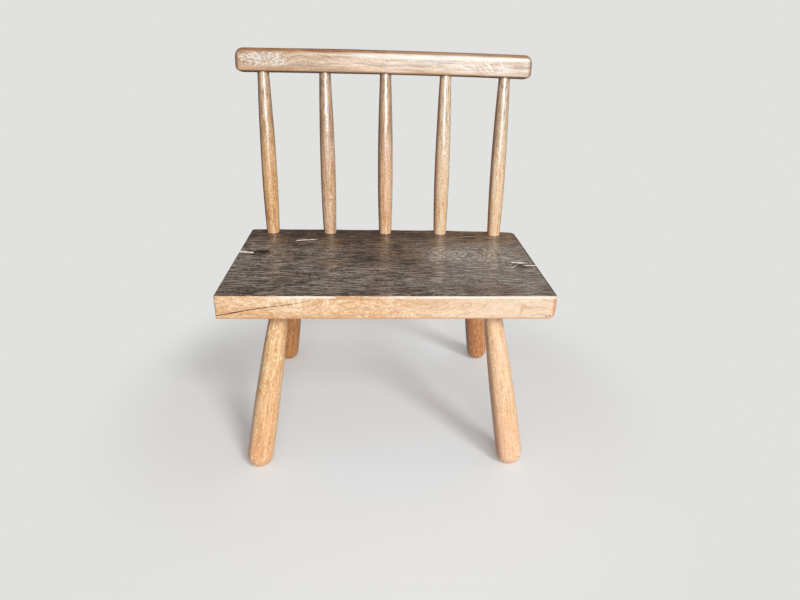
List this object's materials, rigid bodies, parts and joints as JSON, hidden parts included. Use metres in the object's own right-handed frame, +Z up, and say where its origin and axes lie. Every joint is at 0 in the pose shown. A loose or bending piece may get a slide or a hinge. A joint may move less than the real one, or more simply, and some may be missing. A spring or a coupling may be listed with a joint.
{
  "type": "african birthing chair",
  "caption": "Low wooden birthing chair with a thick slab seat, splayed club legs wedged through it, and a leaning spindle back under a rounded crest rail.",
  "frame": {"origin": "on the floor, midway between the ends and midway from the front feet to the back of the crest rail", "axes": "+X to the viewer's right along the seat's length, +Y from the front edge of the seat to its back, +Z up"},
  "size_m": [0.6331, 0.4752, 0.7427],
  "materials": {
    "seat_wood": "dark weathered top, paler edges, waxed satin",
    "rail_wood": "honey brown with pale filled grain, waxed satin",
    "leg_wood": "honey brown with pale filled grain, waxed satin",
    "wedge_wood": "end grain, dark",
    "spindle_wood": "honey brown with pale filled grain, waxed satin"
  },
  "bodies": {
    "root": {"seat": "seat_wood", "crest_rail": "rail_wood", "leg_front_left": "leg_wood", "leg_front_right": "leg_wood", "leg_rear_left": "leg_wood", "leg_rear_right": "leg_wood", "wedge_front_left": "wedge_wood", "wedge_front_right": "wedge_wood", "wedge_rear_left": "wedge_wood", "wedge_rear_right": "wedge_wood", "spindle_far_left": "spindle_wood", "spindle_left": "spindle_wood", "spindle_centre": "spindle_wood", "spindle_right": "spindle_wood", "spindle_far_right": "spindle_wood"}
  },
  "joints": []
}
